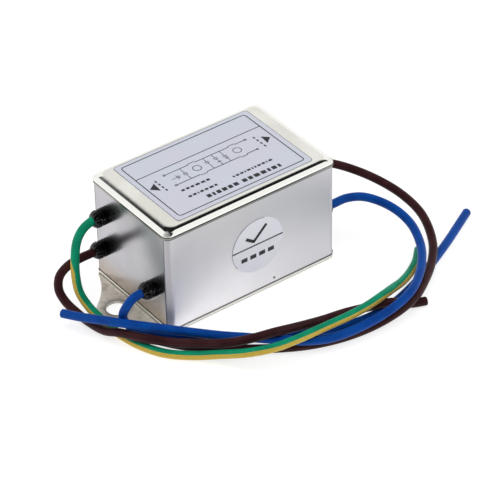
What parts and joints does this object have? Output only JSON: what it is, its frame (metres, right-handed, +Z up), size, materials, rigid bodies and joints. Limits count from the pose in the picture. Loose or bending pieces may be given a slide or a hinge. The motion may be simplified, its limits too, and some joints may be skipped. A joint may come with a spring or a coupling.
{
  "type": "power line filter",
  "caption": "Chassis-mount power line filter: a drawn metal can on a plate with mounting ears, with insulated wire leads leaving both ends through strain relief bushings.",
  "frame": {"origin": "centre of the can in plan, on the mounting face, which is the plate's underside", "axes": "+Z up from the mounting face; +X along the can from the line end, with three leads, to the load end, with two; +Y across, away from the inspection sticker"},
  "size_m": [0.1349, 0.0783, 0.0381],
  "materials": {
    "can_steel": "smooth satin tin-plated steel",
    "plate_steel": "satin plated steel, slightly warm",
    "label_foil": "pale silver-grey polyester foil with dark print",
    "sticker_film": "pale glossy film",
    "bushing_plastic": "black moulded nylon",
    "earth_insulation": "green insulation with a yellow stripe",
    "live_insulation": "dark brown insulation",
    "neutral_insulation": "blue insulation",
    "tray_plastic": "white moulded plastic",
    "post_brass": "turned brass",
    "screw_steel": "zinc-plated steel",
    "board_laminate": "green circuit board laminate",
    "core_ferrite": "coated ferrite",
    "choke_plastic": "black moulded plastic",
    "winding_copper": "enamelled copper wire",
    "film_case": "yellow moulded case",
    "disc_coating": "blue epoxy coating",
    "resistor_coating": "tan lacquer"
  },
  "bodies": {
    "root": {"can": "can_steel", "base_plate": "plate_steel", "type_label": "label_foil", "inspection_sticker": "sticker_film", "bushing_line_earth": "bushing_plastic", "bushing_line_live": "bushing_plastic", "bushing_line_neutral": "bushing_plastic", "bushing_load_live": "bushing_plastic", "bushing_load_neutral": "bushing_plastic", "lead_line_earth": "earth_insulation", "lead_line_live": "live_insulation", "lead_line_neutral": "neutral_insulation", "lead_load_live": "live_insulation", "lead_load_neutral": "neutral_insulation", "insulating_tray": "tray_plastic", "board_posts": "post_brass", "board_screws": "screw_steel", "circuit_board": "board_laminate", "choke_core_line": "core_ferrite", "choke_core_load": "core_ferrite", "choke_base_line": "choke_plastic", "choke_base_load": "choke_plastic", "choke_divider_line": "choke_plastic", "choke_divider_load": "choke_plastic", "winding_line_live": "winding_copper", "winding_line_neutral": "winding_copper", "winding_load_live": "winding_copper", "winding_load_neutral": "winding_copper", "film_capacitor_line": "film_case", "film_capacitor_load": "film_case", "disc_capacitor_live": "disc_coating", "disc_capacitor_neutral": "disc_coating", "bleed_resistor": "resistor_coating"}
  },
  "joints": []
}
